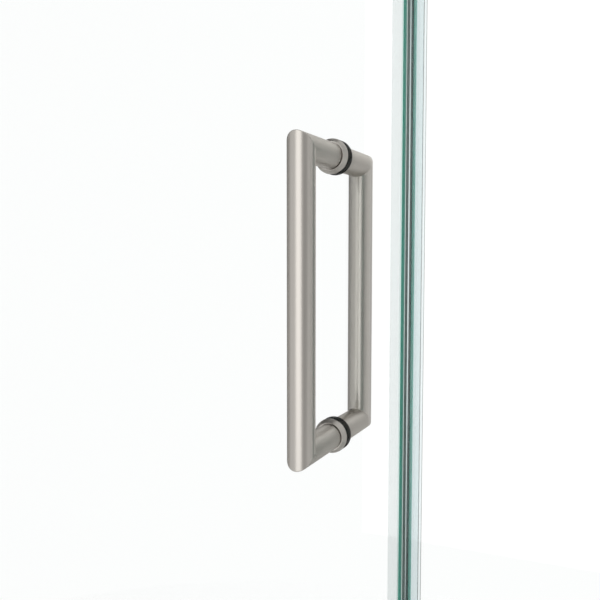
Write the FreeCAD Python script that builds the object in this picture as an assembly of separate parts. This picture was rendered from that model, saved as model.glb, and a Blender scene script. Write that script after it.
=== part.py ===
import FreeCAD
import Part

import math
import os

# Frameless hinged shower door beside an in-line fixed glass panel, in millimetres.
# X runs from the hinge wall to the wall of the fixed panel, Y from the outside into the shower, Z up.
# Y is zero in the middle of both glasses, Z is zero on the curb, X is zero half way between the walls.

V = FreeCAD.Vector

# Cuts run past the faces that they open by this much
overrun = 1.0

# Glass
glass_thickness = 10.0
glass_arris = 0.8
glass_top = 1829.0
door_width = 711.0
door_floor_gap = 14.0
fixed_width = 305.0
hinge_from_glass_end = 229.0

# Clear seals, pushed on to the glass edges
seal_fit = 0.1
seal_leg_thickness = 1.1
seal_end_gap = 0.5

# Bulb seal on the free edge of the door and the channel that it closes on
strike_seal_outer_leg = 7.2
strike_seal_inner_leg = 9.9
strike_seal_web = 1.7
bulb_diameter = 4.4
bulb_wall = 1.2
bulb_bore_offset = 0.2
bulb_root = 0.2
bulb_clearance = 0.25
edge_channel_leg = 7.5
edge_channel_web = 1.0

# Fin seal on the hinge edge of the door
fin_seal_leg = 7.6
fin_seal_web = 1.2
fin_thickness = 0.9
fin_lean = 2.2
fin_wall_gap = 1.5

# Sweep seal under the door
sweep_leg = 12.0
sweep_web = 1.5
wiper_thickness = 0.9
wiper_spacing = 6.4
wiper_lean = 1.6
wiper_floor_gap = 1.0
drip_lip_reach = 8.0
drip_lip_drop = 4.5
drip_lip_thickness = 1.2

# Channels that hold the fixed panel
channel_wall = 1.6
channel_depth = 20.0
channel_edge_gap = 5.6
glazing_thickness = 3.0
glazing_depth = 12.0
glazing_head = 1.2
glazing_fit = 0.05
setting_block_thickness = 4.0
setting_block_length = 40.0
setting_block_inset = 45.0

# Pull handle, a mitred tube on each side of the door
tube_diameter = 19.05
tube_wall = 1.5
post_spacing = 203.2
handle_projection = 63.5
handle_from_edge = 51.6
handle_height = 1000.0

# Handle fixings
glass_hole_diameter = 12.0
sleeve_fit = 0.15
collar_diameter = 25.2
collar_thickness = 4.1
collar_bevel_width = 2.3
collar_bevel_depth = 3.1
collar_rear_round = 0.3
spigot_length = 11.0
spigot_fit = 0.08
shadow_gap = 0.9
handle_gasket_diameter = 25.4
handle_gasket_thickness = 1.1
gasket_fit = 0.03
insert_wall = 1.5
insert_length = 14.0
tube_fit = 0.03
plug_length = 16.0
handle_screw_diameter = 6.0
handle_screw_head_diameter = 9.4
handle_screw_head_height = 4.0
handle_screw_socket = 4.0
handle_screw_grip = 11.0
screw_clearance = 0.2
thread_clearance = 0.05
grub_diameter = 4.0
grub_socket = 2.0
grub_from_post_end = 4.0
grub_socket_share = 0.5

# Hinge, wall side
wall_plate_thickness = 7.0
wall_plate_width = 56.0
wall_plate_height = 90.0
wall_plate_chamfer = 1.2
wall_hole_diameter = 5.5
wall_hole_head = 10.4
wall_hole_spacing_y = 39.0
wall_hole_spacing_z = 64.0
knuckle_height = 28.0
knuckle_neck_width = 24.0
knuckle_chamfer = 0.6
pin_diameter = 10.0
pin_length = 68.0
pin_fit = 0.02
set_screw_diameter = 5.0
set_screw_length = 7.0
set_screw_socket = 2.5

# Hinge, door side
clamp_plate_thickness = 9.0
clamp_plate_height = 90.0
clamp_plate_reach = 49.0
clamp_plate_chamfer = 1.2
clamp_gasket_thickness = 1.0
clamp_gasket_inset = 1.0
glass_wall_clearance = 2.0
barrel_clearance = 1.0
knuckle_clearance = 0.6
washer_thickness = 1.0
washer_diameter = 24.0
axial_clearance = 0.05
bush_wall = 2.0
bush_length = 7.0
running_clearance = 0.05
bore_clearance = 0.5
notch_depth = 32.0
notch_height = 76.0
notch_corner = 8.0
boss_clearance = 1.5
clamp_screw_diameter = 6.0
clamp_screw_head = 12.0
clamp_screw_from_axis = 24.0
clamp_screw_spacings = (20.0, 56.0)
clamp_screw_tip_cover = 4.0
clamp_screw_socket = 4.0
socket_depth = 2.5

# Self-centring springs that press on flats of the hinge pin
pin_flat_depth = 0.8
pin_flat_length = 11.5
spring_thickness = 0.9
spring_width = 8.0
spring_bow = 1.4
spring_clearance = 0.05

# Places that follow from the sizes above
half_glass = glass_thickness / 2
half_body = half_glass + clamp_gasket_thickness + clamp_plate_thickness
hinge_gap = wall_plate_thickness + glass_wall_clearance
strike_gap = (
    seal_fit + strike_seal_web + bulb_diameter - bulb_root + bulb_clearance + edge_channel_web + seal_fit
)
overall_width = hinge_gap + door_width + strike_gap + fixed_width + channel_edge_gap + channel_wall
left_wall = -overall_width / 2
right_wall = overall_width / 2
hinge_x = left_wall + wall_plate_thickness + barrel_clearance + half_body
door_left = left_wall + hinge_gap
door_right = door_left + door_width
fixed_left = door_right + strike_gap
fixed_right = fixed_left + fixed_width
door_bottom = door_floor_gap
fixed_bottom = channel_wall + setting_block_thickness
hinge_heights = {
    "upper": glass_top - hinge_from_glass_end,
    "lower": door_bottom + hinge_from_glass_end,
}
sweep_top = door_bottom - seal_fit + sweep_leg
channel_half_width = half_glass + glazing_thickness + channel_wall
handle_x = door_right - handle_from_edge
post_heights = (handle_height - post_spacing / 2, handle_height + post_spacing / 2)
bar_y = half_glass + handle_projection - tube_diameter / 2
tube_bore = tube_diameter - 2 * tube_wall
spigot_diameter = tube_bore - 2 * (insert_wall + spigot_fit)
gasket_face = half_glass + handle_gasket_thickness
collar_face = gasket_face + collar_thickness
outer_post_end = collar_face + shadow_gap
barrel_start = knuckle_height / 2 + washer_thickness + axial_clearance
bush_end = barrel_start + bush_length
pin_end = pin_length / 2
spring_middle = pin_end - pin_flat_length / 2
spring_length = pin_flat_length - 2 * bore_clearance
pin_flat_x = pin_diameter / 2 - pin_flat_depth
spring_seat_x = pin_flat_x + spring_clearance + spring_bow + spring_thickness


# Shapes that the pieces share


def box(x_range, y_range, z_range):
    corner = V(x_range[0], y_range[0], z_range[0])
    sizes = [high - low for low, high in (x_range, y_range, z_range)]
    return Part.makeBox(*sizes, corner)


def rod(diameter, start, end):
    axis = end.sub(start)
    return Part.makeCylinder(diameter / 2, axis.Length, start, axis)


def tapered_rod(start_diameter, end_diameter, start, end):
    axis = end.sub(start)
    return Part.makeCone(start_diameter / 2, end_diameter / 2, axis.Length, start, axis)


def prism(corners, along):
    wire = Part.makePolygon(corners + corners[:1])
    return Part.Face(wire).extrude(along)


def hex_rod(across_flats, start, end):
    axis = end.sub(start)
    radius = across_flats / math.sqrt(3)
    turns = [math.radians(60 * step) for step in range(6)]
    corners = [V(radius * math.cos(turn), radius * math.sin(turn), 0) for turn in turns]
    shape = prism(corners, V(0, 0, axis.Length))
    shape.Placement = FreeCAD.Placement(start, FreeCAD.Rotation(V(0, 0, 1), axis))
    return shape


def moved(shape, x, z):
    copy = shape.copy()
    copy.translate(V(x, 0, z))
    return copy


def mirrored_in_z(shape):
    return shape.mirror(V(0, 0, 0), V(0, 0, 1))


def channel_points(edge, inward, legs, web):
    """Outline of a U that wraps a glass edge: pairs of (place along the glass, place across it)."""
    inside = half_glass + seal_fit
    outside = inside + seal_leg_thickness
    back = edge - inward * (seal_fit + web)
    floor = edge - inward * seal_fit
    outer_lip, inner_lip = [edge + inward * leg for leg in legs]
    return [
        (back, -outside),
        (outer_lip, -outside),
        (outer_lip, -inside),
        (floor, -inside),
        (floor, inside),
        (inner_lip, inside),
        (inner_lip, outside),
        (back, outside),
    ]


def upright_channel(edge, inward, legs, web, z_range):
    points = channel_points(edge, inward, legs, web)
    corners = [V(x, y, z_range[0]) for x, y in points]
    return prism(corners, V(0, 0, z_range[1] - z_range[0]))


# Glass panels


def arrised_panel(x_range, z_range):
    panel = box(x_range, (-half_glass, half_glass), z_range)
    rims = [edge for edge in panel.Edges if abs(abs(edge.CenterOfMass.y) - half_glass) < glass_arris]
    return panel.makeChamfer(glass_arris, rims)


def hinge_notch():
    """The rounded notch that a hinge takes out of the glass edge, about the hinge axis."""
    edge_x = door_left - hinge_x
    notch = box(
        (edge_x - notch_corner - overrun, notch_depth),
        (-half_body, half_body),
        (-notch_height / 2, notch_height / 2),
    )
    corners = [
        edge
        for edge in notch.Edges
        if edge.CenterOfMass.x > 0 and abs(abs(edge.CenterOfMass.z) - notch_height / 2) < overrun
        and abs(edge.CenterOfMass.y) < overrun
    ]
    return notch.makeFillet(notch_corner, corners)


def door_glass():
    glass = arrised_panel((door_left, door_right), (door_bottom, glass_top))
    notch = hinge_notch()
    cuts = [moved(notch, hinge_x, height) for height in hinge_heights.values()]
    for height in post_heights:
        start = V(handle_x, -half_glass - overrun, height)
        end = V(handle_x, half_glass + overrun, height)
        cuts.append(rod(glass_hole_diameter, start, end))
    return glass.cut(cuts)


def fixed_glass():
    return arrised_panel((fixed_left, fixed_right), (fixed_bottom, glass_top))


# Clear seals


def door_strike_seal():
    z_range = (sweep_top + seal_end_gap, glass_top)
    legs = (strike_seal_outer_leg, strike_seal_inner_leg)
    channel = upright_channel(door_right, -1, legs, strike_seal_web, z_range)
    bulb_x = door_right + seal_fit + strike_seal_web - bulb_root + bulb_diameter / 2
    start = V(bulb_x, 0, z_range[0])
    end = V(bulb_x, 0, z_range[1])
    bulb = rod(bulb_diameter, start, end)
    offset = V(bulb_bore_offset, 0, 0)
    bore = rod(bulb_diameter - 2 * bulb_wall, start.add(offset), end.add(offset))
    return channel.fuse(bulb).cut(bore).removeSplitter()


def fixed_edge_channel():
    z_range = (channel_depth + glazing_head + seal_end_gap, glass_top)
    legs = (edge_channel_leg, edge_channel_leg)
    return upright_channel(fixed_left, 1, legs, edge_channel_web, z_range)


def hinge_edge_seals():
    """Three lengths of fin seal: below, between and above the hinge plates."""
    stops = [sweep_top]
    for name in ("lower", "upper"):
        stops.append(hinge_heights[name] - wall_plate_height / 2)
        stops.append(hinge_heights[name] + wall_plate_height / 2)
    stops.append(glass_top + seal_end_gap)
    legs = (fin_seal_leg, fin_seal_leg)
    back = door_left - seal_fit - fin_seal_web
    tip = left_wall + fin_wall_gap
    lengths = []
    for low, high in zip(stops[0::2], stops[1::2]):
        z_range = (low + seal_end_gap, high - seal_end_gap)
        channel = upright_channel(door_left, 1, legs, fin_seal_web, z_range)
        corners = [
            V(back, -fin_thickness / 2, z_range[0]),
            V(tip, fin_lean - fin_thickness / 2, z_range[0]),
            V(tip, fin_lean + fin_thickness / 2, z_range[0]),
            V(back, fin_thickness / 2, z_range[0]),
        ]
        fin = prism(corners, V(0, 0, z_range[1] - z_range[0]))
        lengths.append(channel.fuse(fin).removeSplitter())
    return lengths


def door_bottom_sweep():
    length = V(door_width, 0, 0)
    points = channel_points(door_bottom, 1, (sweep_leg, sweep_leg), sweep_web)
    sweep = prism([V(door_left, y, z) for z, y in points], length)
    web_under = door_bottom - seal_fit - sweep_web
    for side in (-1, 1):
        root = side * wiper_spacing / 2
        tip = root + side * wiper_lean
        half = wiper_thickness / 2
        corners = [
            V(door_left, root - half, web_under),
            V(door_left, tip - half, wiper_floor_gap),
            V(door_left, tip + half, wiper_floor_gap),
            V(door_left, root + half, web_under),
        ]
        sweep = sweep.fuse(prism(corners, length))
    leg_face = half_glass + seal_fit + seal_leg_thickness
    lip_corners = [
        V(door_left, leg_face, web_under),
        V(door_left, leg_face, web_under + drip_lip_thickness),
        V(door_left, leg_face + drip_lip_reach, web_under + drip_lip_thickness - drip_lip_drop),
        V(door_left, leg_face + drip_lip_reach, web_under - drip_lip_drop),
    ]
    return sweep.fuse(prism(lip_corners, length)).removeSplitter()


# Channels of the fixed panel


def wall_channel():
    outer = box(
        (right_wall - channel_depth, right_wall),
        (-channel_half_width, channel_half_width),
        (0, glass_top),
    )
    inside = channel_half_width - channel_wall
    groove = box(
        (right_wall - channel_depth - overrun, right_wall - channel_wall),
        (-inside, inside),
        (-overrun, glass_top + overrun),
    )
    return outer.cut(groove)


def bottom_channel():
    x_range = (fixed_left, right_wall - channel_depth)
    outer = box(x_range, (-channel_half_width, channel_half_width), (0, channel_depth))
    inside = channel_half_width - channel_wall
    groove = box(
        (x_range[0] - overrun, x_range[1] + overrun),
        (-inside, inside),
        (channel_wall, channel_depth + overrun),
    )
    return outer.cut(groove)


def glazing_points(mouth, side):
    """Outline of a glazing strip, pairs of (height above the channel's mouth, place across the glass)."""
    near = side * (half_glass + glazing_fit)
    far = side * (half_glass + glazing_thickness - glazing_fit)
    rim = side * channel_half_width
    return [
        (mouth - glazing_depth, near),
        (mouth + glazing_head, near),
        (mouth + glazing_head, rim),
        (mouth + glazing_fit, rim),
        (mouth + glazing_fit, far),
        (mouth - glazing_depth, far),
    ]


def wall_glazing_strips():
    bottom = channel_depth + seal_end_gap
    strips = []
    for side in (-1, 1):
        points = glazing_points(channel_depth, side)
        corners = [V(right_wall - depth, y, bottom) for depth, y in points]
        strips.append(prism(corners, V(0, 0, glass_top - bottom)))
    return strips


def bottom_glazing_strips():
    end = right_wall - channel_depth - glazing_head - seal_end_gap
    strips = []
    for side in (-1, 1):
        points = glazing_points(channel_depth, side)
        corners = [V(fixed_left, y, height) for height, y in points]
        strips.append(prism(corners, V(end - fixed_left, 0, 0)))
    return strips


def setting_blocks():
    starts = (
        fixed_left + setting_block_inset,
        right_wall - channel_depth - setting_block_inset - setting_block_length,
    )
    z_range = (channel_wall, channel_wall + setting_block_thickness)
    y_range = (-half_glass, half_glass)
    return [box((start, start + setting_block_length), y_range, z_range) for start in starts]


# Pull handle


def mitred_path(side, post_end):
    low, high = post_heights
    return Part.makePolygon(
        [
            V(handle_x, side * post_end, high),
            V(handle_x, side * bar_y, high),
            V(handle_x, side * bar_y, low),
            V(handle_x, side * post_end, low),
        ]
    )


def mitred_rod(diameter, side, post_end):
    """A round bar that turns two square corners with mitres."""
    path = mitred_path(side, post_end)
    start = V(handle_x, side * post_end, post_heights[1])
    circle = Part.Wire(Part.makeCircle(diameter / 2, start, V(0, side, 0)))
    sweep = Part.BRepOffsetAPI.MakePipeShell(path)
    sweep.add(circle)
    sweep.setTransitionMode(1)
    sweep.build()
    sweep.makeSolid()
    return sweep.shape()


def mitred_tube(side, post_end):
    return mitred_rod(tube_diameter, side, post_end).cut(mitred_rod(tube_bore, side, post_end))


def post_point(side, distance, height):
    return V(handle_x, side * distance, height)


def grub_ends(height):
    """Start and end of a grub screw, which faces the hinge side of an outer post."""
    y = -(outer_post_end + grub_from_post_end)
    inner = V(handle_x - spigot_diameter / 2 - spigot_fit, y, height)
    outer = V(handle_x - tube_diameter / 2, y, height)
    return inner, outer


def grub_hole(height):
    inner, outer = grub_ends(height)
    past = V(overrun, 0, 0)
    return rod(grub_diameter + 2 * thread_clearance, inner.add(past), outer.sub(past))


def outer_handle():
    tube = mitred_tube(-1, outer_post_end)
    return tube.cut([grub_hole(height) for height in post_heights])


def inner_handle():
    return mitred_tube(1, gasket_face)


def post_inserts():
    """Rings in the ends of the outer posts, which the grub screws are threaded through."""
    rings = []
    for height in post_heights:
        start = post_point(-1, outer_post_end, height)
        end = post_point(-1, outer_post_end + insert_length, height)
        ring = rod(tube_bore - 2 * tube_fit, start, end)
        bore = rod(tube_bore - 2 * insert_wall, start, end)
        rings.append(ring.cut([bore, grub_hole(height)]))
    return rings


def grub_screws():
    screws = []
    for height in post_heights:
        inner, outer = grub_ends(height)
        socket_end = outer.add(inner.sub(outer).multiply(grub_socket_share))
        screw = rod(grub_diameter, inner, outer)
        screws.append(screw.cut(hex_rod(grub_socket, socket_end, outer)))
    return screws


def collars():
    """Bevelled collars that the fixing screws hold on the glass and the outer posts slide over."""
    shapes = []
    for height in post_heights:
        glass_side = post_point(-1, gasket_face, height)
        flange_end = post_point(-1, collar_face, height)
        spigot_end = post_point(-1, collar_face + spigot_length, height)
        bevel_start = post_point(-1, collar_face - collar_bevel_depth, height)
        flange = rod(collar_diameter, glass_side, bevel_start)
        rims = [edge for edge in flange.Edges if edge.CenterOfMass.isEqual(glass_side, collar_rear_round)]
        flange = flange.makeFillet(collar_rear_round, rims)
        rim_diameter = collar_diameter - 2 * collar_bevel_width
        bevel = tapered_rod(collar_diameter, rim_diameter, bevel_start, flange_end)
        spigot = rod(spigot_diameter, flange_end, spigot_end)
        hole = rod(handle_screw_diameter + 2 * screw_clearance, glass_side, spigot_end)
        head_room = handle_screw_head_height + screw_clearance
        seat = post_point(-1, collar_face + spigot_length - head_room, height)
        counterbore = rod(handle_screw_head_diameter + 2 * screw_clearance, seat, spigot_end)
        shapes.append(flange.fuse([bevel, spigot]).cut([hole, counterbore]).removeSplitter())
    return shapes


def handle_gaskets(side):
    rings = []
    for height in post_heights:
        start = post_point(side, half_glass + gasket_fit, height)
        end = post_point(side, gasket_face, height)
        ring = rod(handle_gasket_diameter, start, end)
        rings.append(ring.cut(rod(glass_hole_diameter, start, end)))
    return rings


def hole_sleeves():
    sleeves = []
    for height in post_heights:
        start = post_point(-1, half_glass, height)
        end = post_point(1, half_glass, height)
        sleeve = rod(glass_hole_diameter - 2 * sleeve_fit, start, end)
        sleeves.append(sleeve.cut(rod(handle_screw_diameter + 2 * screw_clearance, start, end)))
    return sleeves


def inner_post_plugs():
    plugs = []
    for height in post_heights:
        start = post_point(1, gasket_face, height)
        end = post_point(1, gasket_face + plug_length, height)
        plug = rod(tube_bore - 2 * tube_fit, start, end)
        plugs.append(plug.cut(rod(handle_screw_diameter + 2 * thread_clearance, start, end)))
    return plugs


def handle_screws():
    screws = []
    for height in post_heights:
        top = collar_face + spigot_length - screw_clearance
        head_start = post_point(-1, top - handle_screw_head_height, height)
        head_end = post_point(-1, top, height)
        tip = post_point(1, gasket_face + handle_screw_grip, height)
        head = rod(handle_screw_head_diameter, head_start, head_end)
        shank = rod(handle_screw_diameter, head_start, tip)
        socket = hex_rod(handle_screw_socket, head_end.add(V(0, socket_depth, 0)), head_end)
        screws.append(head.fuse(shank).cut(socket))
    return screws


# Hinge, drawn about its axis and about half its height


def pin():
    half = pin_end
    shape = rod(pin_diameter, V(0, 0, -half), V(0, 0, half))
    flat = box(
        (pin_flat_x, pin_diameter),
        (-pin_diameter, pin_diameter),
        (half - pin_flat_length, half + overrun),
    )
    return shape.cut([flat, mirrored_in_z(flat)])


def set_screw_hole(length, diameter):
    start = V(0, pin_diameter / 2 + pin_fit, 0)
    return rod(diameter, start, start.add(V(0, length, 0)))


def set_screw():
    screw = set_screw_hole(set_screw_length, set_screw_diameter)
    end = V(0, pin_diameter / 2 + pin_fit + set_screw_length, 0)
    return screw.cut(hex_rod(set_screw_socket, end.sub(V(0, socket_depth, 0)), end))


def wall_plate():
    face = hinge_x - left_wall - wall_plate_thickness
    plate = box(
        (-face - wall_plate_thickness, -face),
        (-wall_plate_width / 2, wall_plate_width / 2),
        (-wall_plate_height / 2, wall_plate_height / 2),
    )
    rims = [edge for edge in plate.Edges if abs(edge.CenterOfMass.x + face) < wall_plate_chamfer]
    plate = plate.makeChamfer(wall_plate_chamfer, rims)
    sink_depth = (wall_hole_head - wall_hole_diameter) / 2
    holes = []
    for y in (-wall_hole_spacing_y / 2, wall_hole_spacing_y / 2):
        for z in (-wall_hole_spacing_z / 2, wall_hole_spacing_z / 2):
            mouth = V(-face, y, z)
            back = V(-face - wall_plate_thickness - overrun, y, z)
            sink_end = V(-face - sink_depth, y, z)
            holes.append(rod(wall_hole_diameter, back, mouth))
            holes.append(tapered_rod(wall_hole_head, wall_hole_diameter, mouth, sink_end))
    return plate.cut(holes)


def knuckle():
    half = knuckle_height / 2
    barrel = rod(2 * half_body, V(0, 0, -half), V(0, 0, half))
    rims = [edge for edge in barrel.Edges if edge.Closed]
    barrel = barrel.makeChamfer(knuckle_chamfer, rims)
    face = hinge_x - left_wall - wall_plate_thickness
    neck = box((-face, 0), (-knuckle_neck_width / 2, knuckle_neck_width / 2), (-half, half))
    rims = [edge for edge in neck.Edges if abs(edge.CenterOfMass.x + face / 2) < overrun]
    return barrel.fuse(neck.makeChamfer(knuckle_chamfer, rims))


def wall_bracket():
    half = knuckle_height / 2 + overrun
    bore = rod(pin_diameter + 2 * pin_fit, V(0, 0, -half), V(0, 0, half))
    hole = set_screw_hole(half_body, set_screw_diameter + 2 * thread_clearance)
    return wall_plate().fuse(knuckle()).cut([bore, hole]).removeSplitter()


def thrust_washers():
    low = V(0, 0, knuckle_height / 2)
    high = low.add(V(0, 0, washer_thickness))
    ring = rod(washer_diameter, low, high).cut(rod(pin_diameter + 2 * running_clearance, low, high))
    return [ring, mirrored_in_z(ring)]


def bushes():
    low = V(0, 0, barrel_start)
    high = V(0, 0, bush_end)
    outer = rod(pin_diameter + 2 * (running_clearance + bush_wall), low, high)
    ring = outer.cut(rod(pin_diameter + 2 * running_clearance, low, high))
    return [ring, mirrored_in_z(ring)]


def spring():
    """Bowed leaf spring that lies in its pocket and presses on the flat of the pin."""
    near = pin_flat_x + spring_clearance
    half = spring_length / 2
    y = -spring_width / 2
    reach = spring_bow + spring_thickness

    def bow(crown, ends):
        low = V(ends, y, spring_middle - half)
        middle = V(crown, y, spring_middle)
        high = V(ends, y, spring_middle + half)
        return Part.Arc(low, middle, high)

    inner = bow(near, near + spring_bow).toShape()
    outer = bow(near + spring_thickness, near + reach).toShape()
    caps = [
        Part.makeLine(V(near + spring_bow, y, z), V(near + reach, y, z))
        for z in (spring_middle - half, spring_middle + half)
    ]
    outline = Part.Wire(Part.__sortEdges__([inner, outer] + caps))
    return Part.Face(outline).extrude(V(0, spring_width, 0))


def centring_springs():
    return [spring(), mirrored_in_z(spring())]


def clamp_body():
    """Both clamp plates and what is between them as one block, round about the pin at the wall end."""
    half = clamp_plate_height / 2
    arc = Part.Arc(V(0, half_body, -half), V(-half_body, 0, -half), V(0, -half_body, -half)).toShape()
    straight = Part.makePolygon(
        [
            V(0, -half_body, -half),
            V(clamp_plate_reach, -half_body, -half),
            V(clamp_plate_reach, half_body, -half),
            V(0, half_body, -half),
        ]
    )
    outline = Part.Wire([arc] + straight.Edges)
    block = Part.Face(outline).extrude(V(0, 0, clamp_plate_height))
    rims = [
        edge
        for edge in block.Edges
        if abs(abs(edge.CenterOfMass.z) - half) < overrun
        or abs(edge.CenterOfMass.x - clamp_plate_reach) < overrun
    ]
    block = block.makeChamfer(clamp_plate_chamfer, rims)
    clear = half_body + knuckle_clearance
    gap = box(
        (-half_body - overrun, clear),
        (-half_body - overrun, half_body + overrun),
        (-barrel_start, barrel_start),
    )
    return block.cut(gap)


def pin_cavity():
    """Room for the bushes, the pin ends and the springs inside the clamped plates."""
    bush_seat = rod(
        pin_diameter + 2 * (running_clearance + bush_wall + pin_fit),
        V(0, 0, barrel_start - overrun),
        V(0, 0, bush_end),
    )
    room_end = pin_end + bore_clearance
    pin_room = rod(pin_diameter + 2 * bore_clearance, V(0, 0, bush_end), V(0, 0, room_end))
    half = spring_width / 2 + bore_clearance
    pocket = box((0, spring_seat_x + spring_clearance), (-half, half), (bush_end, room_end))
    upper = bush_seat.fuse([pin_room, pocket])
    return upper.fuse(mirrored_in_z(upper))


def clamp_screw_places():
    return [side * spacing / 2 for spacing in clamp_screw_spacings for side in (-1, 1)]


def clamp_screw_shape(z, clearance):
    """A countersunk screw or, with a clearance, the hole for it."""
    sink_depth = (clamp_screw_head - clamp_screw_diameter) / 2
    x = clamp_screw_from_axis
    top = V(x, half_body, z)
    neck = V(x, half_body - sink_depth, z)
    tip = V(x, clamp_screw_tip_cover - half_body - clearance, z)
    shank = rod(clamp_screw_diameter + 2 * clearance, tip, top)
    head = tapered_rod(clamp_screw_diameter + 2 * clearance, clamp_screw_head + 2 * clearance, neck, top)
    return shank.fuse(head)


def clamp_screws():
    screws = []
    for z in clamp_screw_places():
        top = V(clamp_screw_from_axis, half_body, z)
        socket = hex_rod(clamp_screw_socket, top.sub(V(0, socket_depth, 0)), top)
        screws.append(clamp_screw_shape(z, 0).cut(socket))
    return screws


def clamp_holes():
    return [clamp_screw_shape(z, thread_clearance) for z in clamp_screw_places()]


def inner_clamp_plate():
    face = half_glass + clamp_gasket_thickness
    half = clamp_plate_height / 2
    side = box((-half_body, clamp_plate_reach), (face, half_body), (-half, half))
    return clamp_body().common(side).cut([pin_cavity()] + clamp_holes())


def outer_clamp_plate():
    """The outside plate with the boss that fills the notch and carries the pin."""
    face = half_glass + clamp_gasket_thickness
    half = clamp_plate_height / 2
    side = box((-half_body, clamp_plate_reach), (-half_body, -face), (-half, half))
    boss_half = notch_height / 2 - boss_clearance
    boss = box((-half_body, notch_depth - boss_clearance), (-face, face), (-boss_half, boss_half))
    corners = [
        edge
        for edge in boss.Edges
        if edge.CenterOfMass.x > 0 and abs(edge.CenterOfMass.y) < overrun
        and abs(abs(edge.CenterOfMass.z) - boss_half) < overrun
    ]
    boss = boss.makeFillet(notch_corner, corners)
    return clamp_body().common(side.fuse(boss)).cut([pin_cavity()] + clamp_holes()).removeSplitter()


def clamp_gaskets():
    """Gaskets with the outline of the plates, open where the glass is notched."""
    half = clamp_plate_height / 2 - clamp_gasket_inset
    x_range = (door_left - hinge_x + clamp_gasket_inset, clamp_plate_reach - clamp_gasket_inset)
    near = half_glass + gasket_fit
    far = half_glass + clamp_gasket_thickness
    notch = hinge_notch()
    return [
        box(x_range, y_range, (-half, half)).cut(notch)
        for y_range in ((-far, -near), (near, far))
    ]


hinge_pieces = {
    "wall_bracket": [wall_bracket()],
    "pin": [pin()],
    "pin_set_screw": [set_screw()],
    "thrust_washers": thrust_washers(),
    "bushes": bushes(),
    "centring_springs": centring_springs(),
    "outer_plate": [outer_clamp_plate()],
    "inner_plate": [inner_clamp_plate()],
    "gaskets": clamp_gaskets(),
    "clamp_screws": clamp_screws(),
}

pieces = {
    "door_glass": [door_glass()],
    "door_strike_seal": [door_strike_seal()],
    "hinge_edge_seals": hinge_edge_seals(),
    "door_bottom_sweep": [door_bottom_sweep()],
    "outer_handle": [outer_handle()],
    "outer_handle_inserts": post_inserts(),
    "outer_handle_grub_screws": grub_screws(),
    "outer_handle_collars": collars(),
    "outer_handle_gaskets": handle_gaskets(-1),
    "handle_hole_sleeves": hole_sleeves(),
    "handle_screws": handle_screws(),
    "inner_handle": [inner_handle()],
    "inner_handle_plugs": inner_post_plugs(),
    "inner_handle_gaskets": handle_gaskets(1),
    "fixed_glass": [fixed_glass()],
    "fixed_edge_channel": [fixed_edge_channel()],
    "wall_channel": [wall_channel()],
    "bottom_channel": [bottom_channel()],
    "wall_glazing_strips": wall_glazing_strips(),
    "bottom_glazing_strips": bottom_glazing_strips(),
    "setting_blocks": setting_blocks(),
}
for name, height in hinge_heights.items():
    for piece, solids in hinge_pieces.items():
        pieces[f"{name}_hinge_{piece}"] = [moved(solid, hinge_x, height) for solid in solids]

os.makedirs("parts", exist_ok=True)
for node, solids in pieces.items():
    shape = solids[0] if len(solids) == 1 else Part.makeCompound(solids)
    shape.exportStep(f"parts/{node}.step")
    print(node, len(shape.Solids), shape.isValid(), round(shape.Volume))
print("width", overall_width, "hinge axis", hinge_x, "hinges", hinge_heights)
print("door", door_left, door_right, "fixed", fixed_left, fixed_right)
print("handle", handle_x, handle_height, "bar", bar_y)
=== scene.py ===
import math

import bpy
import numpy as np
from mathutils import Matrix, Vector
from mathutils.geometry import tessellate_polygon


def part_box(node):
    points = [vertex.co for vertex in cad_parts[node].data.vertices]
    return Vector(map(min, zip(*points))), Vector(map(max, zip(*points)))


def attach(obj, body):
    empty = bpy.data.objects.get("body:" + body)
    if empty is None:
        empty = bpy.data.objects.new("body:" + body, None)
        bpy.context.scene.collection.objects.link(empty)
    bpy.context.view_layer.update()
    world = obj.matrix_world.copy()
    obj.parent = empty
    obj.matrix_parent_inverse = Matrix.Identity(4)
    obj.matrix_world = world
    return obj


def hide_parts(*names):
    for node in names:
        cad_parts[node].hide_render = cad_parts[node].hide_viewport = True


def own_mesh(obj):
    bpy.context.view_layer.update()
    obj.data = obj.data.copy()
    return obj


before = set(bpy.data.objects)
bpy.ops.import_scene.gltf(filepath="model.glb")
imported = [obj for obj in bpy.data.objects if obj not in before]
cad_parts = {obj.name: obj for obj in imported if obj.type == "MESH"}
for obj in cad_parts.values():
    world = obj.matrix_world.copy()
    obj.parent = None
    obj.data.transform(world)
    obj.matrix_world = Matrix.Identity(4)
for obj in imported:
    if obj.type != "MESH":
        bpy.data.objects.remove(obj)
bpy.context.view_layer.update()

bl_info = {
    "name": "Hinged shower door",
    "version": (1, 0, 0),
    "blender": (4, 5, 0),
    "location": "View3D > Sidebar > Shower door",
    "description": "Dresses a hinged glass shower door with clear seals and a brushed pull handle",
    "category": "Object",
}

MM = 0.001
MICRON = 0.001 * MM
DOOR = "door_leaf"
FIXED = "fixed_side"
HINGES = ("upper", "lower")

# Changes of a surface's marks in a metre, along and across their lines
FINE_LINES = (22.0, 5200.0)
BROAD_STREAKS = (7.0, 620.0)
DRAW_LINES = (4.0, 900.0)

# Share of the fine lines in the marks of brushed metal, and how much slower moulded colour changes than pits
FINE_SHARE = 0.6
SLOWER = 12

# Changes of the glass's ground edge in a metre, along X, Y and Z
EDGE_CLOUD = (300.0, 300.0, 60.0)

# Cosines, from straight across the glass: a clear face has more than the first, a bevel than the second
CLEAR_FACE = 0.9
BEVEL_FACE = 0.4

# Cosines between which an area of the mirrored studio fades in, from its rim to its full strength
NARROW = (0.80, 0.97)
WIDE = (0.65, 0.97)
BACK_LIGHT = (0.82, 0.97)
CEILING = (0.60, 0.90)

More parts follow.
